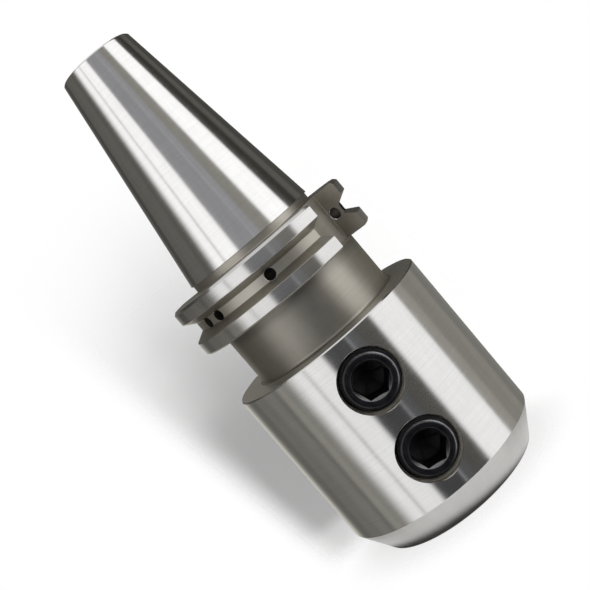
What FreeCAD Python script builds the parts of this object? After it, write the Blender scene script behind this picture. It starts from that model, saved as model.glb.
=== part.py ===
# Side lock arbor: a turned and ground steel holder that clamps a cutter shank with two lock screws.
# Millimetres. The holder stands on its nose face, +Z runs up the spindle axis to the small end of
# the taper, and the lock screws face -Y. The origin is the centre of the nose face.
import FreeCAD, Part
import math
import os

V = FreeCAD.Vector
UP = V(0, 0, 1)

# Spindle taper, size 40, seven in twenty-four on the diameter
GAUGE_D = 44.45
TAPER_RATE = 7.0 / 24.0
TAPER_LEN = 68.25
SMALL_END_CHAMFER = 0.4
RELIEF_D = 43.6
RELIEF_START = 0.8

# Tool change flange, measured from the gauge line towards the nose
FLANGE_D = 63.5
FLANGE_BACK = 3.175
FLANGE_WIDTH = 15.875
FLANGE_BACK_CHAMFER = 0.8
FLANGE_FRONT_CHAMFER = 0.5
GROOVE_FROM_BACK = 7.925
GROOVE_MOUTH = 7.08
GROOVE_ANGLE = 60.0
GROOVE_DEPTH = 3.625

# Drive slots, one on each side of the flange
SLOT_WIDTH = 16.1
SLOT_FLOOR_R = 22.6
SLOT_CORNER_R = 0.8
SLOT_AZIMUTH = -40.0

# Small drillings that balance the holder
BALANCE_D = 3.5
BALANCE_DEPTH = 5.0
BALANCE_AZIMUTHS = (-94.4, -137.3, -150.3)
WALL_DRILLING_FROM_FLOOR = 2.0
DRILL_POINT_ANGLE = 118.0

# Neck and clamping body
PROJECTION = 100.0
NECK_D = 49.0
NECK_ROUND = 1.0
BODY_D = 67.0
BODY_LEN = 63.5
BODY_BACK_CHAMFER = 0.4
NOSE_CHAMFER_LEN = 10.0
NOSE_CHAMFER_DEPTH = 6.0

# Bore for the cutter shank
BORE_D = 25.0
BORE_DEPTH = 59.0
BORE_MOUTH_CHAMFER = 1.0
BORE_FLOOR_ANGLE = 118.0

# Drawbar thread in the small end, with its pilot, and the coolant way down to the bore
DRAWBAR_THREAD_D = 16.0
DRAWBAR_DRILL_DEPTH = 36.0
DRAWBAR_PILOT_D = 17.0
DRAWBAR_PILOT_DEPTH = 7.0
DRAWBAR_MOUTH_CHAMFER = 0.6
COOLANT_D = 10.0

# Lock screws
SCREW_THREAD_D = 18.0
SCREW_TOP_RECESS = 0.9
SCREW_FROM_NOSE = 24.0
SCREW_PITCH = 25.0
SCREW_CLEAR_OF_BORE = 0.1
SCREW_TOP_CHAMFER = 1.0
SCREW_POINT_CHAMFER = 2.2
SCREW_SOCKET_AF = 10.0
SCREW_SOCKET_DEPTH = 9.0
SCREW_SOCKET_MOUTH = 0.5
SCREW_SOCKET_TURN = -10.0
THREAD_CLEARANCE = 0.05
HOLE_MOUTH_D = 19.4
HOLE_MOUTH_DEPTH = 2.4

# How far each cutter runs past the surface it opens
CUT_PAST = 1.0

GAUGE_Z = PROJECTION
SMALL_END_Z = GAUGE_Z + TAPER_LEN
FLANGE_BACK_Z = GAUGE_Z - FLANGE_BACK
FLANGE_FRONT_Z = FLANGE_BACK_Z - FLANGE_WIDTH
GROOVE_Z = FLANGE_BACK_Z - GROOVE_FROM_BACK
SCREW_POINT_R = BORE_D / 2 + SCREW_CLEAR_OF_BORE
SCREW_LEN = BODY_D / 2 - SCREW_TOP_RECESS - SCREW_POINT_R


def turned(corners):
    """Revolve a closed outline of (radius, height) corners about the spindle axis."""
    outline = Part.makePolygon([V(r, 0, z) for r, z in corners + corners[:1]])
    return Part.Face(outline).revolve(V(0, 0, 0), UP, 360)


def swung(shape, degrees):
    """Copy of a shape turned about the spindle axis."""
    copy = shape.copy()
    copy.rotate(V(0, 0, 0), UP, degrees)
    return copy


def taper_radius(z):
    """Radius of the ground taper at a height."""
    return (GAUGE_D - TAPER_RATE * (z - GAUGE_Z)) / 2


def taper_shank():
    """Ground taper with its chamfered small end and the relief below its large end."""
    start_z = GAUGE_Z - RELIEF_START
    chamfer_z = SMALL_END_Z - SMALL_END_CHAMFER
    small_r = taper_radius(SMALL_END_Z) - SMALL_END_CHAMFER
    return turned([
        (0, FLANGE_BACK_Z),
        (RELIEF_D / 2, FLANGE_BACK_Z),
        (RELIEF_D / 2, start_z),
        (taper_radius(start_z), start_z),
        (taper_radius(chamfer_z), chamfer_z),
        (small_r, SMALL_END_Z),
        (0, SMALL_END_Z),
    ])


def vee_groove():
    """Ring cut for the gripper jaws."""
    outer_r = FLANGE_D / 2
    root_r = outer_r - GROOVE_DEPTH
    slope = math.tan(math.radians(GROOVE_ANGLE / 2))
    half_root = GROOVE_MOUTH / 2 - GROOVE_DEPTH * slope
    past_r = outer_r + CUT_PAST
    half_past = GROOVE_MOUTH / 2 + CUT_PAST * slope
    return turned([
        (root_r, GROOVE_Z - half_root),
        (past_r, GROOVE_Z - half_past),
        (past_r, GROOVE_Z + half_past),
        (root_r, GROOVE_Z + half_root),
    ])


def drive_slot():
    """Cutter path of one drive slot, along +X, with rounded floor corners."""
    past_r = FLANGE_D / 2 + CUT_PAST
    block = Part.makeBox(past_r - SLOT_FLOOR_R, SLOT_WIDTH, FLANGE_WIDTH + CUT_PAST,
                         V(SLOT_FLOOR_R, -SLOT_WIDTH / 2, FLANGE_FRONT_Z))
    floor_edges = [e for e in block.Edges
                   if e.BoundBox.XMax < SLOT_FLOOR_R + 0.01 and e.BoundBox.ZLength > FLANGE_WIDTH]
    return block.makeFillet(SLOT_CORNER_R, floor_edges)


def balance_drillings():
    """Radial drillings in the groove root and one in the wall of the drive slot beside the screws."""
    mouth = V(FLANGE_D / 2, 0, GROOVE_Z)
    depth = GROOVE_DEPTH + BALANCE_DEPTH
    root_hole = Part.makeCylinder(BALANCE_D / 2, depth, mouth, V(-1, 0, 0))
    wall_mouth = V(SLOT_FLOOR_R + WALL_DRILLING_FROM_FLOOR, SLOT_WIDTH / 2, GROOVE_Z)
    wall_hole = Part.makeCylinder(BALANCE_D / 2, BALANCE_DEPTH, wall_mouth, V(0, 1, 0))
    holes = [swung(root_hole, azimuth) for azimuth in BALANCE_AZIMUTHS]
    holes.append(swung(wall_hole, SLOT_AZIMUTH))
    return holes


def drive_flange():
    """Flange with its chamfered lands, vee groove and two drive slots."""
    outer_r = FLANGE_D / 2
    back = FLANGE_BACK_CHAMFER
    front = FLANGE_FRONT_CHAMFER
    ring = turned([
        (0, FLANGE_FRONT_Z),
        (outer_r - front, FLANGE_FRONT_Z),
        (outer_r, FLANGE_FRONT_Z + front),
        (outer_r, FLANGE_BACK_Z - back),
        (outer_r - back, FLANGE_BACK_Z),
        (0, FLANGE_BACK_Z),
    ])
    slot = drive_slot()
    return ring.cut([vee_groove(), swung(slot, SLOT_AZIMUTH), swung(slot, SLOT_AZIMUTH + 180)])


def neck():
    """Turned neck that flares into the shoulder of the body."""
    neck_r = NECK_D / 2
    foot_r = neck_r + NECK_ROUND
    foot_z = BODY_LEN + NECK_ROUND
    turn = math.sqrt(0.5)
    flare_mid = V(foot_r - NECK_ROUND * turn, 0, foot_z - NECK_ROUND * turn)
    wire = Part.Wire([
        Part.LineSegment(V(0, 0, BODY_LEN), V(foot_r, 0, BODY_LEN)).toShape(),
        Part.Arc(V(foot_r, 0, BODY_LEN), flare_mid, V(neck_r, 0, foot_z)).toShape(),
        Part.LineSegment(V(neck_r, 0, foot_z), V(neck_r, 0, FLANGE_FRONT_Z)).toShape(),
        Part.LineSegment(V(neck_r, 0, FLANGE_FRONT_Z), V(0, 0, FLANGE_FRONT_Z)).toShape(),
        Part.LineSegment(V(0, 0, FLANGE_FRONT_Z), V(0, 0, BODY_LEN)).toShape(),
    ])
    return Part.Face(wire).revolve(V(0, 0, 0), UP, 360)


def clamping_body():
    """Thick barrel with a chamfered back edge and the wide nose chamfer."""
    body_r = BODY_D / 2
    return turned([
        (0, 0),
        (body_r - NOSE_CHAMFER_DEPTH, 0),
        (body_r, NOSE_CHAMFER_LEN),
        (body_r, BODY_LEN - BODY_BACK_CHAMFER),
        (body_r - BODY_BACK_CHAMFER, BODY_LEN),
        (0, BODY_LEN),
    ])


def through_way():
    """Shank bore, coolant way and drawbar hole as one stepped tool."""
    bore_r = BORE_D / 2
    coolant_r = COOLANT_D / 2
    thread_r = DRAWBAR_THREAD_D / 2
    pilot_r = DRAWBAR_PILOT_D / 2
    mouth = BORE_MOUTH_CHAMFER
    lip = DRAWBAR_MOUTH_CHAMFER
    past = CUT_PAST
    floor_z = BORE_DEPTH + (bore_r - coolant_r) / math.tan(math.radians(BORE_FLOOR_ANGLE / 2))
    drill_z = SMALL_END_Z - DRAWBAR_DRILL_DEPTH
    drill_point_z = drill_z - (thread_r - coolant_r) / math.tan(math.radians(DRILL_POINT_ANGLE / 2))
    pilot_z = SMALL_END_Z - DRAWBAR_PILOT_DEPTH
    return turned([
        (0, -past),
        (bore_r + mouth + past, -past),
        (bore_r, mouth),
        (bore_r, BORE_DEPTH),
        (coolant_r, floor_z),
        (coolant_r, drill_point_z),
        (thread_r, drill_z),
        (thread_r, pilot_z - (pilot_r - thread_r)),
        (pilot_r, pilot_z),
        (pilot_r, SMALL_END_Z - lip),
        (pilot_r + lip + past, SMALL_END_Z + past),
        (0, SMALL_END_Z + past),
    ])


def screw_hole(height):
    """Threaded hole from the barrel to the bore, with its opened mouth."""
    reach = BODY_D / 2 + CUT_PAST
    mouth_r = BODY_D / 2 - HOLE_MOUTH_DEPTH
    out = V(0, -1, 0)
    thread = Part.makeCylinder(SCREW_THREAD_D / 2, reach, V(0, 0, height), out)
    mouth = Part.makeCylinder(HOLE_MOUTH_D / 2, reach - mouth_r, V(0, -mouth_r, height), out)
    return thread.fuse(mouth)


def holder_body():
    """The whole holder in one piece of steel."""
    steel = clamping_body().fuse([neck(), drive_flange(), taper_shank()])
    cuts = [through_way()]
    cuts += balance_drillings()
    cuts += [screw_hole(SCREW_FROM_NOSE), screw_hole(SCREW_FROM_NOSE + SCREW_PITCH)]
    return steel.cut(cuts).removeSplitter()


def hex_socket(top):
    """Hexagon key socket cut from a height downwards, with a drill point below it."""
    corner_r = SCREW_SOCKET_AF / 2 / math.cos(math.radians(30))
    floor = top - SCREW_SOCKET_DEPTH
    corner = V(corner_r, 0, floor)
    turns = [FreeCAD.Rotation(UP, SCREW_SOCKET_TURN + 60 * k) for k in range(7)]
    ring = [turn.multVec(corner) for turn in turns]
    hexagon = Part.Face(Part.makePolygon(ring)).extrude(V(0, 0, SCREW_SOCKET_DEPTH + CUT_PAST))
    flat_r = SCREW_SOCKET_AF / 2
    point = flat_r / math.tan(math.radians(DRILL_POINT_ANGLE / 2))
    tip = Part.makeCone(flat_r, 0, point, V(0, 0, floor), V(0, 0, -1))
    mouth_r = corner_r + SCREW_SOCKET_MOUTH
    mouth = Part.makeCone(0, mouth_r, mouth_r, V(0, 0, top - mouth_r), UP)
    return hexagon.fuse(tip).fuse(mouth)


def lock_screw(height):
    """Set screw with a hexagon socket outside and a flat chamfered point at the bore."""
    screw_r = SCREW_THREAD_D / 2 - THREAD_CLEARANCE
    blank = turned([
        (0, 0),
        (screw_r - SCREW_POINT_CHAMFER, 0),
        (screw_r, SCREW_POINT_CHAMFER),
        (screw_r, SCREW_LEN - SCREW_TOP_CHAMFER),
        (screw_r - SCREW_TOP_CHAMFER, SCREW_LEN),
        (0, SCREW_LEN),
    ])
    screw = blank.cut(hex_socket(SCREW_LEN))
    screw.rotate(V(0, 0, 0), V(1, 0, 0), 90)
    screw.translate(V(0, -SCREW_POINT_R, height))
    return screw


def save(name, shape):
    """Write one node."""
    shape.exportStep("parts/" + name + ".step")
    box = shape.BoundBox
    print(name, shape.isValid(), len(shape.Solids), round(shape.Volume, 1),
          [round(x, 3) for x in (box.XMin, box.XMax, box.YMin, box.YMax, box.ZMin, box.ZMax)])


os.makedirs("parts", exist_ok=True)
save("holder_body", holder_body())
save("front_lock_screw", lock_screw(SCREW_FROM_NOSE))
save("rear_lock_screw", lock_screw(SCREW_FROM_NOSE + SCREW_PITCH))
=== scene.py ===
import math

import bmesh
import bpy
import numpy as np
from mathutils import Matrix, Quaternion, Vector


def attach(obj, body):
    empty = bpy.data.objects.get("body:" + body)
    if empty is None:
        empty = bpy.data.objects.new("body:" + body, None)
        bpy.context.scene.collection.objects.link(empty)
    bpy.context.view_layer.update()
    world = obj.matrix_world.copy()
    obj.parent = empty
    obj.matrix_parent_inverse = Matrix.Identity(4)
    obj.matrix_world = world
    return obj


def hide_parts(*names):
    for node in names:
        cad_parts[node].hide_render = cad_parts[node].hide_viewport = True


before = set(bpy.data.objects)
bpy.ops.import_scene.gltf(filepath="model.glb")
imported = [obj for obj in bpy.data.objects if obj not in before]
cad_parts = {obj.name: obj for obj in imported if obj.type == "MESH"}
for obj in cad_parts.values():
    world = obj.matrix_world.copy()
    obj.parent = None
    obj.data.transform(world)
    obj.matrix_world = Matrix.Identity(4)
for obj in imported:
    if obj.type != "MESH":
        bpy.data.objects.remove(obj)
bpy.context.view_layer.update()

# Side lock arbor: a ground steel holder and its two black lock screws.
# Sizes are in millimetres and turned into metres when a mesh is made. Angles are in degrees.
MM = 0.001
TO_MM = 1 / MM

# Spindle taper and its small end
GAUGE_Z = 100.0
GAUGE_R = 22.225
TAPER_RATE = 7.0 / 24.0
TAPER_LEN = 68.25
SMALL_END_Z = GAUGE_Z + TAPER_LEN
SMALL_END_CHAMFER = 0.4
RELIEF_R = 21.8
RELIEF_LEN = 0.8
RELIEF_Z = GAUGE_Z - RELIEF_LEN

# Tool change flange
FLANGE_R = 31.75
FLANGE_TO_GAUGE = 3.175
FLANGE_WIDTH = 15.875
FLANGE_BACK_Z = GAUGE_Z - FLANGE_TO_GAUGE
FLANGE_FRONT_Z = FLANGE_BACK_Z - FLANGE_WIDTH
FLANGE_BACK_CHAMFER = 0.8
FLANGE_FRONT_CHAMFER = 0.5
GROOVE_TO_GAUGE = 11.1
GROOVE_Z = GAUGE_Z - GROOVE_TO_GAUGE
GROOVE_HALF_MOUTH = 3.54
GROOVE_DEPTH = 3.625
GROOVE_FLANK = 30.0
GROOVE_ROOT_R = FLANGE_R - GROOVE_DEPTH
GROOVE_HALF_ROOT = GROOVE_HALF_MOUTH - GROOVE_DEPTH * math.tan(math.radians(GROOVE_FLANK))

# Drive slots, and the small drillings in the groove and in the wall of one slot
SLOT_HALF_WIDTH = 8.05
SLOT_FLOOR_R = 22.6
SLOT_CORNER_R = 0.25
SLOT_CORNER_STEPS = 6
SLOT_AZIMUTH = -40.0
SLOT_CLEAR = 1.0
# The slots' cutter ends this far past the flange's front face, because the neck stands below it
SLOT_PAST_FRONT = 0.02
DRILLING_R = 1.75
DRILLING_DEPTH = 5.0
# Azimuth of each drilling in the groove, and how far its edge is broken
DRILLINGS = ((-94.4, 0.12), (-137.3, 0.03), (-150.3, 0.03))
WALL_DRILLING_RISE = 2.0
WALL_DRILLING_BROKEN = 0.12
DRILLING_PAST = 0.1
DRILLING_CLEAR = 3.4
DRILL_HALF_POINT = 59.0

# Neck and barrel
NECK_R = 24.5
NECK_ROUND = 1.0
BODY_R = 33.5
BODY_LEN = 63.5
BODY_BACK_CHAMFER = 0.4
NOSE_EDGE_R = 27.5
NOSE_CHAMFER_Z = 10.0

# Way through the middle
BORE_R = 12.5
BORE_DEPTH = 59.0
BORE_MOUTH_CHAMFER = 1.0
COOLANT_R = 5.0
THREAD_R = 8.0
THREAD_MINOR_R = 6.92
THREAD_PITCH = 2.0
THREAD_HOLE_DEPTH = 36.0
THREAD_BOTTOM_Z = SMALL_END_Z - THREAD_HOLE_DEPTH
THREAD_TOP_GAP = 1.5
PILOT_R = 8.5
PILOT_DEPTH = 7.0
PILOT_Z = SMALL_END_Z - PILOT_DEPTH
PILOT_LIP = 0.6

# Lock screws and their holes
SCREW_HEIGHTS = {"front": 24.0, "rear": 49.0}
SCREW_POINT_OUT = 12.6
SCREW_R = 8.95
SCREW_LEN = 20.0
SCREW_PITCH = 2.0
SCREW_THREAD_DEPTH = 1.2
SCREW_TOP_R = 8.35
SCREW_TOP_FALL = 0.75
SCREW_FACE_R = 7.65
SCREW_POINT_CHAMFER = 2.2
SOCKET_HALF_AF = 5.0
SOCKET_CORNER_R = SOCKET_HALF_AF / math.cos(math.radians(30))
SOCKET_DEPTH = 9.0
SOCKET_TURN = -10.0
SOCKET_MOUTH_FALL = 0.1
SOCKET_DRILL_DEPTH = 2.9
# Thread form over one pitch: (share of the pitch, share of the depth below the crest)
THREAD_FORM = ((0.0, 0.0), (0.06, 0.0), (0.125, 0.0), (0.24, 0.33), (0.36, 0.67),
               (0.475, 1.0), (0.56, 1.0), (0.65, 1.0), (0.77, 0.66), (0.88, 0.34))
# Rolled edges of the screw's face and of its socket: (out from the edge, down from the face)
FACE_ROLL = ((0.28, 0.28), (0.1, 0.14), (-0.1, 0.04), (-0.28, 0.0))
MOUTH_ROLL = ((0.22, 0.0), (0.1, 0.03), (0.0, SOCKET_MOUTH_FALL))
# Where the worn edges of the face and of the socket lie, which carry a painted highlight on one side, and
# where the socket is inside
FACE_EDGE_HALF_WIDTH = 0.26
FACE_EDGE_LOW = 0.24
SOCKET_EDGE_REACH = (SOCKET_HALF_AF - 0.05, SOCKET_CORNER_R + 0.15)
SOCKET_EDGE_DOWN = (0.01, 1.1)
SOCKET_INSIDE_DOWN = (1.2, SCREW_LEN - 1.0)
HOLE_R = 9.0
HOLE_MOUTH_R = 9.7
HOLE_MOUTH_DEPTH = 2.4
HOLE_EDGE = 0.15
HOLE_CLEAR = 0.7
HOLE_START = 6.0

# How finely the round forms are divided
AROUND = 320
HOLE_AROUND = 128
DRILLING_AROUND = 48
SCREW_AROUND = 96
THREAD_AROUND = 72
LONGEST_RUN = 3.5
ARC_STEP = 12.0
TIP_R = 0.01
# Edges sharper than these stay sharp when the faces are smoothed
CUT_EDGE_ANGLE = 35.0
SCREW_EDGE_ANGLE = 28.0

# Finishes of the holder and of a lock screw, by their places in their lists
GROUND, SATIN, LAND, STEP, NECK, NOSE, BORED, MILLED, DRILLED, BRIGHT, MOUTH = range(11)
OXIDE, SOCKET, FACE_EDGE, SOCKET_EDGE = range(4)
# Ranges of the mixed noise that go from a finish's dark tone to its light one
STEEL_SPREAD = (0.32, 0.68)
OXIDE_SPREAD = (0.35, 0.65)
# How far painted shade darkens a steel finish
PAINTED_SHADE_TONE = 0.42
# Near black painted on a screw's edge away from its highlighted side, as painted shade
EDGE_PAINTED_SHADE = (0.012, 0.012, 0.013, 1.0)

# The steel mirrors a wide ring, painted with light cards and dark flags
RING_R = 600.0
RING_HALF_HEIGHT = 900.0
RING_AROUND = 144
# The barrel mirrors the cards as they are low down, and the taper as they are high up
CARDS_LOW_Z = -20.0
CARDS_HIGH_Z = 120.0
WARM = (1.0, 0.965, 0.87)
COOL = (0.98, 0.99, 1.03)
WHITE = (1.0, 1.0, 1.0)
# Each card is painted over those before it. Its edges are azimuths from the camera's side.
# Left edge and right edge (low, high), softness, brightness (low, high), tint
CARDS = (
    ((-400, -400), (400, 400), 1, (0.25, 0.162), WARM),       # grey walls
    ((-400, -400), (-147, -156), 10, (0.62, 0.15), WARM),     # window behind on the left
    ((-138, -150), (-120, -128), 6, (0.165, 0.08), WARM),     # dark flag behind on the left
    ((-120, -128), (-103, -112), 5, (0.21, 0.148), WARM),     # thinner cloth beside it
    ((-89, -90), (-84.5, -83), 2, (0.19, 0.13), WARM),        # stand of the left softbox
    ((-82.5, -82), (-74.5, -79), 1.5, (0.36, 0.15), WARM),    # its lit side
    ((-74.5, -79), (-50, -60), 2, (0.3, 0.15), WARM),         # edge of its cloth
    ((-62, -70.5), (0, 0), 9, (1.16, 1.46), WHITE),           # softbox on the left
    ((-46, -52), (-42.5, -48.5), 1.2, (0.72, 0.8), WHITE),    # seam of its two tubes
    ((-20, -23), (40.5, 42), 3, (0.076, 0.39), COOL),         # dark front flag
    ((8, 8), (10.5, 10.5), 1, (0.42, 0.52), COOL),            # gap in the flag
    ((10.5, 10.5), (21, 21), 2, (0.125, 0.42), COOL),         # thinner cloth beside the gap
    ((21, 21), (40.5, 42), 3, (0.11, 0.345), WARM),           # right part of the flag
    ((40.5, 42), (80.5, 83.5), 3, (1.26, 1.55), WHITE),       # softbox on the right
    ((80.5, 83.5), (97, 92), 3, (0.42, 0.075), WARM),         # wall past it
    ((96, 92), (110, 110), 4, (0.315, 0.052), WARM),          # dim wall
    ((110, 111), (128, 128), 4, (0.33, 0.14), WARM),          # lighter strip
    ((128, 128), (151, 158), 5, (0.24, 0.078), WARM),         # dark flag behind on the right
    ((151, 158), (400, 400), 8, (0.25, 0.05), WARM),          # wall behind on the right
)

# Pale floor, which goes clear between two reaches from the spindle
FLOOR_Z = -0.02
FLOOR_HALF = 400.0
FLOOR_CLEARS = (28.0, 46.0)
FLOOR_PALENESS = 0.93
FLOOR_LIFT = 0.7

# Pale wall behind the part, and the ranges over which the shadow on it comes and goes
WALL_Y = 50.0
WALL_HALF = 500.0
WALL_LOW = -400.0
WALL_HIGH = 600.0
WALL_PALENESS = 0.62
WALL_LIFT = 0.08
SHADOW_COMES_Z = (-15.0, -5.0)
SHADOW_GOES_Z = (40.0, 150.0)
SHADOW_COMES_X = (-58.0, -44.0)
SHADOW_GOES_X = (25.0, 60.0)
SHADOW_LEAN = 0.17

# Dark ring that stands in for the shade in the gap under the nose: a painted shadow
SHADE_Z = -0.01
SHADE_R = 34.0
SHADE_AROUND = 96
SHADE_CENTRE = (-1.4, -2.2, 0.0)
SHADE_CLEARS = (26.2, 28.7)
SHADE_GREY = 0.1

# Lamp from the right front, and the plain light of the room
LAMP_SIZE = 280.0
LAMP_WATTS = 4.5
LAMP_AZIMUTH = 27.0
LAMP_SLOPE = -0.05
LAMP_AWAY = 560.0
LAMP_AIM_Z = 80.0
ROOM_LIGHT = 0.55

# Camera
CAMERA_AT = (-5.467, -315.656, 107.321)
LOOK_AZIMUTH = 0.961
LOOK_DOWN = 5.409
CAMERA_ROLL = 40.441
LENS = 64.013
SENSOR = 36.0
CLIP_NEAR = 10.0
CLIP_FAR = 20000.0


# Meshes

def circle(r, z, around):
    """A ring of points about the spindle axis."""
    turns = [2 * math.pi * j / around for j in range(around)]
    return [(r * math.cos(a), r * math.sin(a), z) for a in turns]


def rectangle(left, right, low, high):
    """Corners of a rectangle."""
    return (left, low), (right, low), (right, high), (left, high)


def rings(rows, closed=False):
    """Points and faces of a stack of rings, each a list of as many points."""
    around = len(rows[0])
    points = [p for row in rows for p in row]
    faces = []
    for i in range(len(rows) if closed else len(rows) - 1):
        low = i * around
        high = ((i + 1) % len(rows)) * around
        for j in range(around):
            k = (j + 1) % around
            faces.append((low + j, low + k, high + k, high + j))
    return points, faces


def mesh_from(name, points, faces):
    """A mesh in metres from points in millimetres."""
    mesh = bpy.data.meshes.new(name)
    mesh.from_pydata([(x * MM, y * MM, z * MM) for x, y, z in points], [], faces)
    mesh.validate()
    return mesh


def placed(name, data):
    """An object in the scene for a mesh, a lamp or a camera."""
    thing = bpy.data.objects.new(name, data)
    bpy.context.scene.collection.objects.link(thing)
    return thing


def joined(solids):
    """Several solids as one, with the finish of each face where they have them."""
    points = []
    faces = []
    finishes = []
    for more, their_faces, *theirs in solids:
        start = len(points)
        points += more
        faces += [tuple(start + i for i in f) for f in their_faces]
        finishes += theirs[0] if theirs else []
    return (points, faces, finishes) if finishes else (points, faces)


# Outline of the turned steel

def rounded(corners):
    """Walk a closed outline of (radius, height, edge round, finish of the run after it) corners.

    Gives points (radius, height, normal radius part, normal height part, finish) with every edge
    rolled over a small arc, so that the normals never jump."""
    count = len(corners)
    path = []
    for i, (r, z, edge, finish) in enumerate(corners):
        before = Vector(corners[i - 1][:2])
        here = Vector((r, z))
        after = Vector(corners[(i + 1) % count][:2])
        run_in = (here - before).normalized()
        run_out = (after - here).normalized()
        turn = run_in.angle_signed(run_out)
        side_in = Vector((run_in.y, -run_in.x))
        side_out = Vector((run_out.y, -run_out.x))
        back = edge * abs(math.tan(turn / 2))
        start = here - run_in * back
        hand = 1.0 if turn < 0 else -1.0
        centre = start - side_in * edge * hand
        steps = max(2, round(abs(math.degrees(turn)) / ARC_STEP))
        for k in range(steps + 1):
            normal = side_in.slerp(side_out, k / steps)
            point = centre + normal * edge * hand
            path.append((point.x, point.y, normal.x, normal.y, finish))
    return path


def divided(path, longest):
    """Put extra points into the long runs of an outline."""
    full = []
    for here, after in zip(path, path[1:] + path[:1]):
        full.append(here)
        length = math.hypot(after[0] - here[0], after[1] - here[1])
        parts = math.ceil(length / longest)
        for k in range(1, parts):
            share = k / parts
            full.append(tuple(a + (b - a) * share for a, b in zip(here[:4], after[:4])) + here[4:])
    return full


def taper_r(z):
    """Radius of the spindle taper at a height."""
    return GAUGE_R - TAPER_RATE * (z - GAUGE_Z) / 2


def holder_outline():
    """Section of the steel from the nose, up the outside, and back down the bore."""
    cone = math.tan(math.radians(DRILL_HALF_POINT))
    bore_floor_z = BORE_DEPTH + (BORE_R - COOLANT_R) / cone
    drill_point_z = THREAD_BOTTOM_Z - (THREAD_R - COOLANT_R) / cone
    return [
        (BORE_R + BORE_MOUTH_CHAMFER, 0.0, 0.15, NOSE),
        (NOSE_EDGE_R, 0.0, 0.5, NOSE),
        (BODY_R, NOSE_CHAMFER_Z, 0.35, GROUND),
        (BODY_R, BODY_LEN - BODY_BACK_CHAMFER, 0.12, GROUND),
        (BODY_R - BODY_BACK_CHAMFER, BODY_LEN, 0.12, STEP),
        (NECK_R, BODY_LEN, NECK_ROUND, NECK),
        (NECK_R, FLANGE_FRONT_Z, 0.3, SATIN),
        (FLANGE_R - FLANGE_FRONT_CHAMFER, FLANGE_FRONT_Z, 0.12, SATIN),
        (FLANGE_R, FLANGE_FRONT_Z + FLANGE_FRONT_CHAMFER, 0.12, LAND),
        (FLANGE_R, GROOVE_Z - GROOVE_HALF_MOUTH, 0.25, SATIN),
        (GROOVE_ROOT_R, GROOVE_Z - GROOVE_HALF_ROOT, 0.4, SATIN),
        (GROOVE_ROOT_R, GROOVE_Z + GROOVE_HALF_ROOT, 0.4, SATIN),
        (FLANGE_R, GROOVE_Z + GROOVE_HALF_MOUTH, 0.25, LAND),
        (FLANGE_R, FLANGE_BACK_Z - FLANGE_BACK_CHAMFER, 0.12, LAND),
        (FLANGE_R - FLANGE_BACK_CHAMFER, FLANGE_BACK_Z, 0.12, SATIN),
        (RELIEF_R, FLANGE_BACK_Z, 0.5, SATIN),
        (RELIEF_R, RELIEF_Z, 0.1, SATIN),
        (taper_r(RELIEF_Z), RELIEF_Z, 0.1, GROUND),
        (taper_r(SMALL_END_Z - SMALL_END_CHAMFER), SMALL_END_Z - SMALL_END_CHAMFER, 0.2, GROUND),
        (taper_r(SMALL_END_Z) - SMALL_END_CHAMFER, SMALL_END_Z, 0.15, SATIN),
        (PILOT_R + PILOT_LIP, SMALL_END_Z, 0.12, BORED),
        (PILOT_R, SMALL_END_Z - PILOT_LIP, 0.12, BORED),
        (PILOT_R, PILOT_Z, 0.1, BORED),
        (THREAD_R, PILOT_Z - (PILOT_R - THREAD_R), 0.1, BORED),
        (THREAD_R, THREAD_BOTTOM_Z, 0.2, BORED),
        (COOLANT_R, drill_point_z, 0.2, BORED),
        (COOLANT_R, bore_floor_z, 0.3, BORED),
        (BORE_R, BORE_DEPTH, 0.3, BORED),
        (BORE_R, BORE_MOUTH_CHAMFER, 0.12, BORED),
    ]


def turned(name, path, around):
    """Turn a closed outline about the spindle axis."""
    mesh = mesh_from(name, *rings([circle(r, z, around) for r, z, *_ in path], closed=True))
    for face in mesh.polygons:
        face.material_index = path[face.index // around][4]
    return mesh


# Cutters

def tool_from(profile, around, finishes):
    """A turned cutter about +X from (distance along X, radius) pairs, closed at both ends.

    `finishes` names the finish that each run of the profile leaves."""
    rows = [[(along, across, up) for across, up, along in circle(r, x, around)] for x, r in profile]
    points, faces = rings(rows)
    faces.append(tuple(reversed(range(around))))
    faces.append(tuple(range((len(rows) - 1) * around, len(rows) * around)))
    left = [finish for finish in finishes for j in range(around)]
    return points, faces, left + [finishes[0], finishes[-1]]


def moved(solid, turn=0.0, shift=(0, 0, 0), azimuth=0.0):
    """Turn a cutter about +Z, shift it, then swing it about the spindle axis."""
    place = (Matrix.Rotation(math.radians(azimuth), 4, "Z") @ Matrix.Translation(shift)
             @ Matrix.Rotation(math.radians(turn), 4, "Z"))
    points, *rest = solid
    return [tuple(place @ Vector(p)) for p in points], *rest


def slot_cutter():
    """Path of the drive slot cutter along +X, with rounded floor corners."""
    top = FLANGE_R + SLOT_CLEAR
    low = FLANGE_FRONT_Z - SLOT_PAST_FRONT
    high = FLANGE_BACK_Z + SLOT_CLEAR
    outline = [(top, SLOT_HALF_WIDTH), (top, -SLOT_HALF_WIDTH)]
    for hand in (-1, 1):
        middle = (SLOT_FLOOR_R + SLOT_CORNER_R, hand * (SLOT_HALF_WIDTH - SLOT_CORNER_R))
        for k in range(SLOT_CORNER_STEPS + 1)[::-hand]:
            a = math.radians(90 / SLOT_CORNER_STEPS * k)
            outline.append((middle[0] - SLOT_CORNER_R * math.sin(a),
                            middle[1] + hand * SLOT_CORNER_R * math.cos(a)))
    count = len(outline)
    points = [(x, y, low) for x, y in outline] + [(x, y, high) for x, y in outline]
    faces = [(i, (i + 1) % count, count + (i + 1) % count, count + i) for i in range(count)]
    faces.append(tuple(reversed(range(count))))
    faces.append(tuple(range(count, 2 * count)))
    faces = [tuple(reversed(f)) for f in faces]
    return points, faces, [MILLED] * len(faces)


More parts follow.
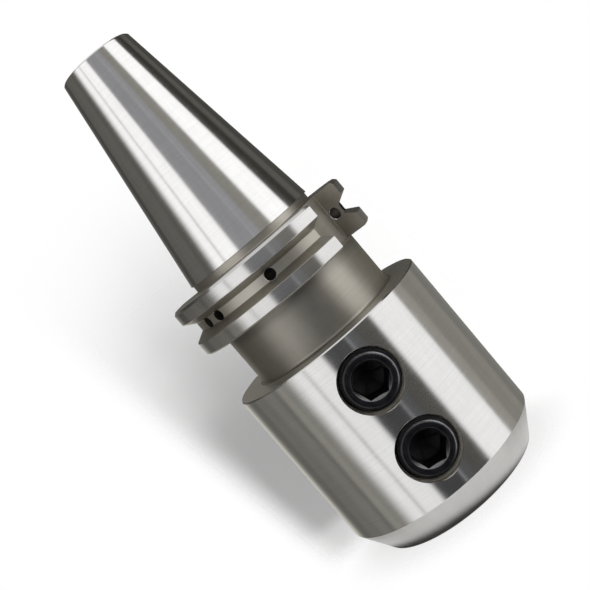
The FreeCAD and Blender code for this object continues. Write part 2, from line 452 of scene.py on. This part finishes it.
def drilling_cutter(mouth_x, broken):
    """Small drilling from mouth_x inwards along -X to its drill point, its edge broken by that much."""
    end = mouth_x - DRILLING_DEPTH
    wide_r = DRILLING_R + broken + DRILLING_PAST
    return tool_from([
        (end - DRILLING_R / math.tan(math.radians(DRILL_HALF_POINT)), TIP_R),
        (end, DRILLING_R),
        (mouth_x - broken, DRILLING_R),
        (mouth_x + DRILLING_PAST, wide_r),
        (mouth_x + DRILLING_CLEAR, wide_r),
    ], DRILLING_AROUND, (DRILLED, DRILLED, BRIGHT, BRIGHT))


def screw_hole_cutter():
    """Screw hole along +X from the bore to the barrel, with its opened mouth."""
    mouth = BODY_R - HOLE_MOUTH_DEPTH
    step = HOLE_MOUTH_R - HOLE_R
    return tool_from([
        (HOLE_START, HOLE_R),
        (mouth - step, HOLE_R),
        (mouth, HOLE_MOUTH_R),
        (BODY_R - HOLE_EDGE, HOLE_MOUTH_R),
        (BODY_R + HOLE_CLEAR, HOLE_MOUTH_R + HOLE_EDGE + HOLE_CLEAR),
    ], HOLE_AROUND, (MOUTH,) * 4)


def cut(piece, solids):
    """Cut solids that stand apart out of a piece. The new faces get the cutters' finishes."""
    points, faces, finishes = joined(solids)
    mesh = mesh_from("cutter", points, faces)
    mesh.polygons.foreach_set("material_index", finishes)
    for material in piece.data.materials:
        mesh.materials.append(material)
    tool = placed("cutter", mesh)
    step = piece.modifiers.new("cut", "BOOLEAN")
    step.operation = "DIFFERENCE"
    step.solver = "EXACT"
    step.object = tool
    graph = bpy.context.evaluated_depsgraph_get()
    result = bpy.data.meshes.new_from_object(piece.evaluated_get(graph))
    piece.modifiers.clear()
    piece.data = result
    bpy.data.objects.remove(tool)


def outline_normals(points, path):
    """True normals of a turned outline at the points nearest to it, in millimetres."""
    radius = np.hypot(points[:, 0], points[:, 1])
    height = points[:, 2]
    nearest = np.full(len(points), np.inf)
    leaning = np.zeros((len(points), 2))
    for here, after in zip(path, path[1:] + path[:1]):
        run = (after[0] - here[0], after[1] - here[1])
        square = run[0] ** 2 + run[1] ** 2
        if square < 1e-9:
            continue
        share = np.clip(((radius - here[0]) * run[0] + (height - here[1]) * run[1]) / square, 0, 1)
        off = np.hypot(here[0] + run[0] * share - radius, here[1] + run[1] * share - height)
        closer = off < nearest
        nearest[closer] = off[closer]
        for side in (0, 1):
            lean = here[2 + side] + (after[2 + side] - here[2 + side]) * share
            leaning[closer, side] = lean[closer]
    outward, upward = leaning.T
    true = np.stack([outward * points[:, 0] / radius, outward * points[:, 1] / radius, upward], 1)
    return true / np.linalg.norm(true, axis=1)[:, None]


def smooth_by_outline(mesh, path):
    """Give every turned face the true normals of its outline, and the cut faces soft ones."""
    for face in mesh.polygons:
        face.use_smooth = True
    mesh.set_sharp_from_angle(angle=math.radians(CUT_EDGE_ANGLE))
    normals = np.zeros(len(mesh.loops) * 3)
    mesh.corner_normals.foreach_get("vector", normals)
    normals = normals.reshape(-1, 3)
    points = np.zeros(len(mesh.vertices) * 3)
    mesh.vertices.foreach_get("co", points)
    true = outline_normals(points.reshape(-1, 3) / MM, path)
    # The finishes before MILLED are those of turned faces
    for face in mesh.polygons:
        if face.material_index < MILLED:
            for corner in face.loop_indices:
                normals[corner] = true[mesh.loops[corner].vertex_index]
    mesh.normals_split_custom_set(normals.tolist())


# Shader maths

class Value:
    """A shader socket that can be used in ordinary sums."""

    def __init__(self, recipe, socket):
        self.recipe = recipe
        self.socket = socket

    def __add__(self, other):
        return self.recipe.math("ADD", self, other)

    def __radd__(self, other):
        return self.recipe.math("ADD", other, self)

    def __sub__(self, other):
        return self.recipe.math("SUBTRACT", self, other)

    def __rsub__(self, other):
        return self.recipe.math("SUBTRACT", other, self)

    def __mul__(self, other):
        return self.recipe.math("MULTIPLY", self, other)

    def __rmul__(self, other):
        return self.recipe.math("MULTIPLY", other, self)

    def __truediv__(self, other):
        return self.recipe.math("DIVIDE", self, other)

    def __rtruediv__(self, other):
        return self.recipe.math("DIVIDE", other, self)

    def __pow__(self, other):
        return self.recipe.math("POWER", self, other)

    def __rpow__(self, other):
        return self.recipe.math("POWER", other, self)


class Recipe:
    """The node tree of a finish, a card or the room."""

    def __init__(self, tree):
        self.tree = tree
        tree.nodes.clear()

    def node(self, kind, settings=None, sockets=None, output=0):
        """One node: its settings first, then the values or links of its sockets."""
        made = self.tree.nodes.new(kind)
        for name, value in (settings or {}).items():
            setattr(made, name, value)
        for name, value in (sockets or {}).items():
            if isinstance(value, Value):
                self.tree.links.new(value.socket, made.inputs[name])
            else:
                made.inputs[name].default_value = value
        return Value(self, made.outputs[output]) if len(made.outputs) else made

    def math(self, operation, a, b=0.0):
        """A Math node, with one or two numbers."""
        return self.node("ShaderNodeMath", {"operation": operation}, {0: a, 1: b})

    def between(self, value, low, high):
        """0 below low, 1 above high, soft in between."""
        return self.node("ShaderNodeMapRange", {"interpolation_type": "SMOOTHSTEP"},
                         {"Value": value, "From Min": low, "From Max": high})

    def blend(self, share, first, second):
        """Colour mix, whose colours are sockets 6 and 7 and whose result is output 2."""
        return self.node("ShaderNodeMix", {"data_type": "RGBA"}, {0: share, 6: first, 7: second}, 2)

    def mixed(self, share, first, second):
        """Shader mix."""
        return self.node("ShaderNodeMixShader", {}, {0: share, 1: first, 2: second})

    def place(self):
        """How far across, along and up a point of the object lies, in metres."""
        coordinates = self.node("ShaderNodeTexCoord", output="Object")
        apart = self.node("ShaderNodeSeparateXYZ", {}, {0: coordinates})
        return [Value(self, way) for way in apart.socket.node.outputs]

    def spindle_place(self):
        """Cosine and sine round the spindle, and radius and height in millimetres."""
        x, y, z = self.place()
        never_zero = 1e-6
        radius = (x * x + y * y) ** 0.5 + never_zero
        return x / radius, y / radius, radius * TO_MM, z * TO_MM

    def seen(self):
        """1 for what the camera sees, by itself or in metal and glass, and 0 for light on the object."""
        rays = self.node("ShaderNodeLightPath").socket.node.outputs
        camera_ray, glossy_ray, glass_ray = (
            Value(self, rays[kind]) for kind in ("Is Camera Ray", "Is Glossy Ray", "Is Transmission Ray"))
        return self.math("MINIMUM", camera_ray + glossy_ray + glass_ray, 1.0)

    def lines_round(self, spread, per_mm):
        """Noise drawn out round the spindle: `per_mm` across the lines, `spread` along them."""
        cosine, sine, radius, height = self.spindle_place()
        place = self.node("ShaderNodeCombineXYZ", {}, {
            0: cosine * spread, 1: sine * spread, 2: height * per_mm})
        return self.node("ShaderNodeTexNoise", {"noise_dimensions": "4D"}, {
            "Vector": place, "W": radius * per_mm, "Scale": 1.0, "Detail": 2.0})

    def lines_along(self, per_turn, per_mm):
        """Noise drawn out along the spindle."""
        cosine, sine, radius, height = self.spindle_place()
        place = self.node("ShaderNodeCombineXYZ", {}, {
            0: cosine * per_turn, 1: sine * per_turn, 2: height * per_mm})
        return self.node("ShaderNodeTexNoise", {}, {"Vector": place, "Scale": 1.0, "Detail": 3.0})

    def patches(self, scale, detail=3.0):
        """Soft patches in the finish."""
        place = self.node("ShaderNodeTexCoord", output="Object")
        return self.node("ShaderNodeTexNoise", {}, {"Vector": place, "Scale": scale, "Detail": detail})

    def bump(self, strength, depth, height):
        """Marks up to `depth` millimetres deep."""
        return self.node("ShaderNodeBump", {}, {
            "Strength": strength, "Distance": depth * MM, "Height": height})

    def surface(self, shader):
        """End a material with its shader."""
        self.node("ShaderNodeOutputMaterial", {}, {"Surface": shader})


def opaque(colour, strength=1.0):
    """A colour with its full alpha, brightened by a strength."""
    return tuple(strength * part for part in colour) + (1.0,)


def finish_named(name):
    """An empty material and its recipe."""
    material = bpy.data.materials.new(name)
    material.use_nodes = True
    return material, Recipe(material.node_tree)


# Finishes

def steel(name, dark, light, rough, lines, depth, drawn=0.0, painted_shade=None):
    """A machined steel finish with its marks running round the spindle.

    `rough` is its least and most roughness. `lines` is how many fine and coarse marks there are in a
    millimetre, `depth` how deep they are, and `drawn` how far they draw out a highlight. Handling
    leaves faint wipe marks along the spindle. The last argument gives how far painted shade darkens
    each place, from 0 to 1."""
    material, recipe = finish_named(name)
    fine = recipe.lines_round(2.5, lines[0])
    coarse = recipe.lines_round(1.2, lines[1])
    cloud = recipe.patches(55.0)
    smudge = recipe.patches(160.0, 4.0)
    wipes_and_lit_sides = recipe.lines_along(16.0, 0.14)
    tone = recipe.between(fine * 0.35 + coarse * 0.25 + cloud * 0.15 + wipes_and_lit_sides * 0.25, *STEEL_SPREAD)
    colour = recipe.blend(tone, opaque(dark), opaque(light))
    # Painted shade: the colour is darkened where the given mask says
    if painted_shade:
        colour = recipe.blend(painted_shade(recipe), colour, opaque(dark, PAINTED_SHADE_TONE))
    worn = recipe.between(coarse * 0.3 + smudge * 0.4 + wipes_and_lit_sides * 0.3, *STEEL_SPREAD)
    shader = recipe.node("ShaderNodeBsdfPrincipled", {}, {
        "Base Color": colour, "Metallic": 1.0, "Roughness": worn * (rough[1] - rough[0]) + rough[0],
        "Anisotropic": drawn, "Anisotropic Rotation": 0.25,
        "Normal": recipe.bump(0.35, depth, fine * 0.6 + coarse * 0.4)})
    recipe.surface(shader)
    return material


def neck_painted_shade(recipe):
    """Painted shade on the neck: darker in the corner under the flange, at its left limb and where it faces
    the camera, unevenly.
    """
    cosine, sine, radius, height = recipe.spindle_place()
    corner = recipe.between(height, FLANGE_FRONT_Z - 5.0, FLANGE_FRONT_Z)
    # 0 where the neck faces the camera or turns its back, and 1 at its left limb
    left = 0.0 - cosine
    side = recipe.between(left, 0.0, 0.45) * (1.0 - recipe.between(left, 0.88, 0.97))
    front = recipe.between(0.0 - sine, 0.9, 0.985)
    uneven = recipe.patches(90.0) * 0.6 + 0.7
    return recipe.math("MINIMUM", (corner * 0.55 + side * 0.5 + front * 0.42) * uneven, 0.85)


def step_painted_shade(recipe):
    """Painted shade on the barrel's step: darker where it faces the camera or turns its back, lighter at its
    left and right sides, unevenly.
    """
    cosine, sine, radius, height = recipe.spindle_place()
    # Painted light: the step's left and right sides keep the light colour, and its middle takes the painted
    # shade
    wipes_and_lit_sides = recipe.between(recipe.math("ABSOLUTE", cosine), 0.35, 0.95)
    return (1.0 - wipes_and_lit_sides) * (recipe.patches(90.0) * 0.5 + 0.5)


def black_oxide(name, dark, light, rough, shine, bare=0.2, painted_highlight_side=None):
    """Oiled black oxide on the lock screws, with faint turning rings.

    `bare` is how much steel shows through it. The last argument gives the side where an edge keeps a
    painted highlight: across and along the spindle, and how far round it reaches. Away from that side
    the edge is painted near black, as painted shade."""
    material, recipe = finish_named(name)
    cloud = recipe.patches(300.0)
    grain = recipe.patches(2200.0, 4.0)
    turned_rings = recipe.lines_round(1.5, 4.0)
    tone = recipe.between(cloud * 0.5 + grain * 0.25 + turned_rings * 0.25, *OXIDE_SPREAD)
    colour = recipe.blend(tone, opaque(dark), opaque(light))
    # Painted highlight: the edge keeps its bare steel colour on the given side only and is painted near
    # black elsewhere, so its reflection shows on that side alone
    if painted_highlight_side:
        across, along, reach = painted_highlight_side
        cosine, sine, radius, height = recipe.spindle_place()
        side = cosine * across + sine * along
        worn = recipe.between(side, 0.75 - reach, 0.95) * 0.9 + 0.1
        colour = recipe.blend(worn, EDGE_PAINTED_SHADE, colour)
    shader = recipe.node("ShaderNodeBsdfPrincipled", {}, {
        "Base Color": colour, "Metallic": bare,
        "Roughness": recipe.between(grain * 0.5 + cloud * 0.5, *OXIDE_SPREAD) * 0.08 + rough,
        "Specular IOR Level": shine,
        "Normal": recipe.bump(0.2, 0.002, turned_rings * 0.6 + grain * 0.4)})
    recipe.surface(shader)
    return material


def holder_finishes():
    """The holder's finishes, in the order of their places."""
    return (
        steel("ground_steel_finish", (0.59, 0.585, 0.575), (0.66, 0.655, 0.65),
              rough=(0.13, 0.17), lines=(7.0, 2.0), depth=0.0008, drawn=0.45),
        steel("satin_steel_finish", (0.375, 0.355, 0.315), (0.425, 0.405, 0.36),
              rough=(0.36, 0.42), lines=(8.0, 1.6), depth=0.003, drawn=0.2),
        steel("land_steel_finish", (0.50, 0.495, 0.485), (0.57, 0.565, 0.56),
              rough=(0.13, 0.17), lines=(7.0, 2.0), depth=0.0008, drawn=0.45),
        # Painted light: the step's colour is much lighter than the satin steel's, standing in for the bright
        # reflection at its sides
        steel("step_steel_painted_light", (0.8, 0.77, 0.7), (0.92, 0.89, 0.82),
              rough=(0.32, 0.38), lines=(8.0, 1.6), depth=0.003, drawn=0.2, painted_shade=step_painted_shade),
        # Painted shade darkens the neck under the flange, at its left limb and where it faces the camera
        steel("neck_steel_finish", (0.36, 0.34, 0.30), (0.42, 0.40, 0.355),
              rough=(0.40, 0.46), lines=(8.0, 1.6), depth=0.003, drawn=0.15, painted_shade=neck_painted_shade),
        steel("nose_steel_finish", (0.53, 0.525, 0.51), (0.61, 0.605, 0.59),
              rough=(0.30, 0.38), lines=(7.0, 1.8), depth=0.003, drawn=0.2),
        steel("bored_steel_finish", (0.42, 0.41, 0.38), (0.55, 0.54, 0.50),
              rough=(0.30, 0.40), lines=(6.0, 1.6), depth=0.006, drawn=0.5),
        steel("milled_steel_finish", (0.37, 0.347, 0.30), (0.46, 0.43, 0.378),
              rough=(0.5, 0.6), lines=(6.0, 1.6), depth=0.004),
        # Painted shade: the drillings' walls and points are near black, standing in for the shade inside the
        # holes
        steel("drilled_steel_painted_shade", (0.08, 0.075, 0.065), (0.16, 0.15, 0.13),
              rough=(0.45, 0.6), lines=(6.0, 1.6), depth=0.004),
        steel("bright_steel_finish", (0.66, 0.655, 0.64), (0.74, 0.735, 0.72),
              rough=(0.12, 0.2), lines=(6.0, 1.6), depth=0.001),
        steel("mouth_steel_finish", (0.56, 0.525, 0.46), (0.68, 0.64, 0.565),
              rough=(0.5, 0.6), lines=(6.0, 1.6), depth=0.003),
    )


def screw_finishes():
    """A lock screw's finishes, in the order of their places."""
    return (
        black_oxide("black_oxide_finish", (0.002, 0.002, 0.0025), (0.006, 0.006, 0.007),
                    rough=0.12, shine=0.3),
        black_oxide("socket_black_finish", (0.002, 0.002, 0.002), (0.005, 0.005, 0.005),
                    rough=0.4, shine=0.15),
        # Bare steel edges whose colour is painted near black away from one side: a painted highlight on that
        # side
        black_oxide("edge_painted_highlight", (0.09, 0.092, 0.096), (0.2, 0.2, 0.205),
                    rough=0.2, shine=0.5, bare=0.9, painted_highlight_side=(0.94, 0.34, 0.9)),
        black_oxide("mouth_painted_highlight", (0.07, 0.07, 0.072), (0.16, 0.16, 0.164),
                    rough=0.2, shine=0.5, bare=0.9, painted_highlight_side=(-0.43, -0.91, 0.6)),
    )


# The holder

def make_holder(finishes):
    """The holder: turned in one piece, with its slots, screw holes and drillings cut out."""
    path = divided(rounded(holder_outline()), LONGEST_RUN)
    mesh = turned("arbor_steel", path, AROUND)
    for finish in finishes:
        mesh.materials.append(finish)
    piece = placed("arbor_steel", mesh)
    cut(piece, [moved(slot_cutter(), azimuth=SLOT_AZIMUTH + turn) for turn in (0, 180)])
    cut(piece, [moved(screw_hole_cutter(), shift=(0, 0, height), azimuth=-90.0)
                for height in SCREW_HEIGHTS.values()])
    in_wall = moved(drilling_cutter(0.0, WALL_DRILLING_BROKEN), turn=-90.0, azimuth=SLOT_AZIMUTH,
                    shift=(SLOT_FLOOR_R + WALL_DRILLING_RISE, SLOT_HALF_WIDTH, GROOVE_Z))
    in_groove = [moved(drilling_cutter(GROOVE_ROOT_R, broken), azimuth=azimuth, shift=(0, 0, GROOVE_Z))
                 for azimuth, broken in DRILLINGS]
    cut(piece, [in_wall] + in_groove)
    smooth_by_outline(piece.data, path)
    return piece


def drawbar_thread():
    """Turns of the drawbar thread, as one closed ridge on the wall of its hole."""
    half_foot = 0.85
    half_crest = 0.15
    foot_r = THREAD_R + 0.05
    run_out = 20
    steps = ((PILOT_Z - THREAD_TOP_GAP - THREAD_BOTTOM_Z) / THREAD_PITCH - 1) * THREAD_AROUND
    rows = []
    for i in range(round(steps) + 1):
        a = 2 * math.pi * i / THREAD_AROUND
        z = THREAD_BOTTOM_Z + THREAD_PITCH * (0.5 + i / THREAD_AROUND)
        share = min(1.0, i / run_out, (steps - i + 0.5) / run_out)
        crest_r = THREAD_R - (THREAD_R - THREAD_MINOR_R) * share
        ridge = ((foot_r, -half_foot), (crest_r, -half_crest), (crest_r, half_crest), (foot_r, half_foot))
        rows.append([(r * math.cos(a), r * math.sin(a), z + up) for r, up in ridge])
    points, faces = rings(rows)
    faces.append((3, 2, 1, 0))
    faces.append(tuple(len(points) - 4 + k for k in range(4)))
    return mesh_from("drawbar_thread", points, faces)


# The lock screws

def threaded_wall(around):
    """Points and faces of the screw's outside. Its rows climb with the thread."""
    points = []
    # Two turns too many, so that the first row lies wholly in the point's flat
    turns = range(-2, int(SCREW_LEN / SCREW_PITCH) + 1)
    levels = [(turn + share, sunk) for turn in turns for share, sunk in THREAD_FORM]
    shoulder = SCREW_LEN - SCREW_TOP_FALL
    for level, sunk in levels:
        for j in range(around):
            a = 2 * math.pi * j / around
            z = min(SCREW_LEN, max(0.0, (level + j / around) * SCREW_PITCH))
            run_out = SCREW_TOP_R + max(0.0, shoulder - z)
            r = min(SCREW_R - SCREW_THREAD_DEPTH * sunk, run_out, SCREW_R - SCREW_POINT_CHAMFER + z)
            points.append((r * math.cos(a), r * math.sin(a), min(z, shoulder)))
    faces = []
    step = len(THREAD_FORM)
    for i in range(len(levels) - 1):
        low = i * around
        high = low + around
        faces += [(low + j, low + j + 1, high + j + 1, high + j) for j in range(around - 1)]
        if i + 1 + step < len(levels):
            faces.append((high - 1, low + step * around, high + step * around, high + around - 1))
    return points, faces


def socket_radius(a):
    """Hexagon socket wall, with its corners a little rounded."""
    local = (a - math.radians(SOCKET_TURN)) % math.radians(60) - math.radians(30)
    return min(SOCKET_HALF_AF / math.cos(local), SOCKET_CORNER_R - 0.05)


def socket_ring(radius_at, height_at, around):
    """A ring of points whose radius changes round it, and whose height follows the radius."""
    ring = []
    for j in range(around):
        a = 2 * math.pi * j / around
        r = radius_at(a)
        ring.append((r * math.cos(a), r * math.sin(a), height_at(r)))
    return ring


def screw_lids(around):
    """Points and faces of the screw's top with its socket, and of its point's flat."""
    floor = SCREW_LEN - SOCKET_DEPTH

    def countersunk(r):
        return SCREW_LEN - SOCKET_MOUTH_FALL - (SOCKET_CORNER_R - r)

    face_edge = [(SCREW_FACE_R + out, down) for out, down in FACE_ROLL]
    socket_edge = [(SOCKET_CORNER_R + out, down) for out, down in MOUTH_ROLL]
    top = [circle(r, SCREW_LEN - down, around)
           for r, down in [(SCREW_TOP_R, SCREW_TOP_FALL)] + face_edge + socket_edge]
    top += [
        socket_ring(lambda a: (socket_radius(a) + 2 * SOCKET_CORNER_R) / 3, countersunk, around),
        socket_ring(socket_radius, countersunk, around),
        socket_ring(socket_radius, lambda r: floor, around),
        circle(SOCKET_HALF_AF - 0.1, floor - 0.02, around),
        circle(2 * TIP_R, floor - SOCKET_DRILL_DEPTH, around),
    ]
    points, faces = rings(top)
    faces.append(tuple(range((len(top) - 1) * around, len(top) * around)))
    under = rings([circle(2 * TIP_R, 0.0, around), circle(SCREW_R - SCREW_POINT_CHAMFER, 0.0, around)])
    under[1].append(tuple(reversed(range(around))))
    return (points, faces), under


def screw_finish_at(reach, depth):
    """Finish of the screw's steel at a reach from its axis and a depth below its face."""
    inner, outer = SOCKET_EDGE_REACH
    if reach < outer and SOCKET_INSIDE_DOWN[0] < depth < SOCKET_INSIDE_DOWN[1]:
        return SOCKET
    if inner < reach < outer and SOCKET_EDGE_DOWN[0] < depth < SOCKET_EDGE_DOWN[1]:
        return SOCKET_EDGE
    if abs(reach - SCREW_FACE_R) < FACE_EDGE_HALF_WIDTH and depth < FACE_EDGE_LOW:
        return FACE_EDGE
    return OXIDE


def lock_screw(name, finishes):
    """Set screw along +Z with its point at 0, as one closed mesh."""
    mesh = mesh_from(name, *joined([threaded_wall(SCREW_AROUND), *screw_lids(SCREW_AROUND)]))
    work = bmesh.new()
    work.from_mesh(mesh)
    bmesh.ops.remove_doubles(work, verts=work.verts, dist=0.002 * MM)
    bmesh.ops.dissolve_degenerate(work, edges=work.edges, dist=0.001 * MM)
    bmesh.ops.recalc_face_normals(work, faces=work.faces)
    work.to_mesh(mesh)
    work.free()
    for finish in finishes:
        mesh.materials.append(finish)
    for face in mesh.polygons:
        middle = face.center / MM
        face.material_index = screw_finish_at(math.hypot(middle.x, middle.y), SCREW_LEN - middle.z)
        face.use_smooth = True
    mesh.set_sharp_from_angle(angle=math.radians(SCREW_EDGE_ANGLE))
    return mesh


# The studio

def make_studio_ring():
    """A wide ring of softboxes and flags, which the steel mirrors."""
    rows = [circle(RING_R, z, RING_AROUND) for z in (-RING_HALF_HEIGHT, RING_HALF_HEIGHT)]
    ring = placed("studio_ring", mesh_from("studio_ring", *rings(rows)))
    material, recipe = finish_named("studio_ring_paint")
    x, y, z = recipe.place()
    azimuth = recipe.math("ARCTAN2", x, 0.0 - y) * math.degrees(1)
    # 0 where the cards have their low form and 1 where they have their high one
    rise = recipe.between(z * TO_MM, CARDS_LOW_Z, CARDS_HIGH_Z)
    paint = (0.0, 0.0, 0.0, 1.0)
    for left, right, soft, (low, high), tint in CARDS:
        start = rise * (left[1] - left[0]) + left[0]
        end = rise * (right[1] - right[0]) + right[0]
        past_start = recipe.between(azimuth, start - soft, start + soft)
        past_end = recipe.between(azimuth, end - soft, end + soft)
        colour = recipe.blend(rise, opaque(tint, low), opaque(tint, high))
        paint = recipe.blend(past_start * (1.0 - past_end), paint, colour)
    recipe.surface(recipe.node("ShaderNodeEmission", {}, {"Color": paint, "Strength": 1.0}))
    ring.data.materials.append(material)
    ring.visible_camera = False
    ring.visible_shadow = False


def pale_sheet(name, corners, paleness, lift, fade_of):
    """Pale paper that keeps the shadow and fades out into the white room.

    `lift` is how far it is whitened for the camera. It has one side only, so the part shows from
    behind it."""
    sheet = placed(name, mesh_from(name, corners, [(0, 1, 2, 3)]))
    material, recipe = finish_named(name + "_paper")
    x, y, z = (way * TO_MM for way in recipe.place())
    paper = recipe.node("ShaderNodeBsdfDiffuse", {}, {"Color": opaque((paleness,) * 3)})
    white = recipe.node("ShaderNodeEmission", {}, {"Color": opaque(WHITE), "Strength": 1.0})
    lifted = recipe.mixed(recipe.seen() * lift, paper, white)
    clear = recipe.node("ShaderNodeBsdfTransparent")
    behind = recipe.node("ShaderNodeNewGeometry", output="Backfacing")
    gone = recipe.math("MAXIMUM", fade_of(recipe, x, y, z), behind)
    recipe.surface(recipe.mixed(gone, lifted, clear))
    sheet.data.materials.append(material)
    return sheet


def floor_fade(recipe, x, y, z):
    """The floor goes clear away from the nose."""
    return recipe.between((x * x + y * y) ** 0.5, *FLOOR_CLEARS)


def wall_fade(recipe, x, y, z):
    """The wall keeps the shadow beside the barrel."""
    kept = (1.0 - recipe.between(z, *SHADOW_GOES_Z)) * recipe.between(z, *SHADOW_COMES_Z) \
        * recipe.between(z * SHADOW_LEAN + x, *SHADOW_COMES_X) * (1.0 - recipe.between(x, *SHADOW_GOES_X))
    return 1.0 - kept


def make_floor():
    """A pale floor under the nose."""
    corners = [(x, y, FLOOR_Z) for x, y in rectangle(-FLOOR_HALF, FLOOR_HALF, -FLOOR_HALF, FLOOR_HALF)]
    pale_sheet("floor", corners, FLOOR_PALENESS, FLOOR_LIFT, floor_fade)


def make_wall():
    """A paper wall close behind the part, which only takes the shadow."""
    corners = [(x, WALL_Y, z) for x, z in rectangle(-WALL_HALF, WALL_HALF, WALL_LOW, WALL_HIGH)]
    wall = pale_sheet("backdrop", corners, WALL_PALENESS, WALL_LIFT, wall_fade)
    wall.visible_glossy = False
    wall.visible_diffuse = False
    wall.visible_shadow = False


def make_nose_shade():
    """A dark ring that stands in for the shade in the gap under the nose, as a painted shadow which only the
    nose chamfer mirrors.
    """
    rows = [circle(r, SHADE_Z, SHADE_AROUND) for r in (NOSE_EDGE_R, SHADE_R)]
    shade = placed("nose_shade", mesh_from("nose_shade", *rings(rows)))
    material, recipe = finish_named("nose_shade_paint")
    place = recipe.node("ShaderNodeTexCoord", output="Object")
    away = recipe.node("ShaderNodeVectorMath", {"operation": "SUBTRACT"}, {
        0: place, 1: [way * MM for way in SHADE_CENTRE]})
    reach = recipe.node("ShaderNodeVectorMath", {"operation": "LENGTH"}, {0: away}, "Value") * TO_MM
    dark = recipe.node("ShaderNodeBsdfDiffuse", {}, {"Color": opaque((SHADE_GREY,) * 3)})
    clear = recipe.node("ShaderNodeBsdfTransparent")
    recipe.surface(recipe.mixed(recipe.between(reach, *SHADE_CLEARS), dark, clear))
    shade.data.materials.append(material)
    shade.visible_camera = False
    shade.visible_diffuse = False
    shade.visible_shadow = False


def make_key_lamp():
    """A soft square lamp from the right front, which throws the shadow to the left."""
    data = bpy.data.lights.new("key_lamp", "AREA")
    data.shape = "SQUARE"
    data.size = LAMP_SIZE * MM
    data.energy = LAMP_WATTS
    lamp = placed("key_lamp", data)
    azimuth = math.radians(LAMP_AZIMUTH)
    out = Vector((math.sin(azimuth), -math.cos(azimuth), LAMP_SLOPE))
    lamp.location = (out * LAMP_AWAY + Vector((0, 0, LAMP_AIM_Z))) * MM
    lamp.rotation_mode = "QUATERNION"
    lamp.rotation_quaternion = (-out).to_track_quat("-Z", "Y")
    lamp.visible_glossy = False
    lamp.visible_camera = False


def make_room():
    """White behind everything, and a plain light on the object."""
    world = bpy.data.worlds.new("studio")
    world.use_nodes = True
    bpy.context.scene.world = world
    room = Recipe(world.node_tree)
    strength = room.seen() * (1.0 - ROOM_LIGHT) + ROOM_LIGHT
    back = room.node("ShaderNodeBackground", {}, {"Color": opaque(WHITE), "Strength": strength})
    room.node("ShaderNodeOutputWorld", {}, {"Surface": back})


def make_camera():
    """The camera, level first and then rolled about its line of sight."""
    data = bpy.data.cameras.new("camera")
    data.lens = LENS
    data.sensor_width = SENSOR
    data.clip_start = CLIP_NEAR * MM
    data.clip_end = CLIP_FAR * MM
    camera = placed("camera", data)
    azimuth = math.radians(LOOK_AZIMUTH)
    down = math.radians(LOOK_DOWN)
    ahead = Vector((math.sin(azimuth) * math.cos(down), math.cos(azimuth) * math.cos(down), -math.sin(down)))
    camera.location = Vector(CAMERA_AT) * MM
    camera.rotation_mode = "QUATERNION"
    level = ahead.to_track_quat("-Z", "Y")
    camera.rotation_quaternion = Quaternion(ahead, math.radians(CAMERA_ROLL)) @ level
    bpy.context.scene.camera = camera


# The pieces, on their bodies
STEEL = holder_finishes()
BLACK = screw_finishes()

holder = make_holder(STEEL)
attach(holder, "holder")
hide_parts("holder_body")

thread = placed("drawbar_thread", drawbar_thread())
thread.data.materials.append(STEEL[BORED])
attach(thread, "holder")

for end, height in SCREW_HEIGHTS.items():
    screw = placed(end + "_screw_steel", lock_screw(end + "_screw_steel", BLACK))
    screw.matrix_world = (Matrix.Translation((0, -SCREW_POINT_OUT * MM, height * MM))
                          @ Matrix.Rotation(math.radians(90), 4, "X"))
    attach(screw, end + "_screw")
    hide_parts(end + "_lock_screw")

make_studio_ring()
make_floor()
make_nose_shade()
make_wall()
make_key_lamp()
make_room()
make_camera()
bpy.context.scene.view_settings.view_transform = "Standard"
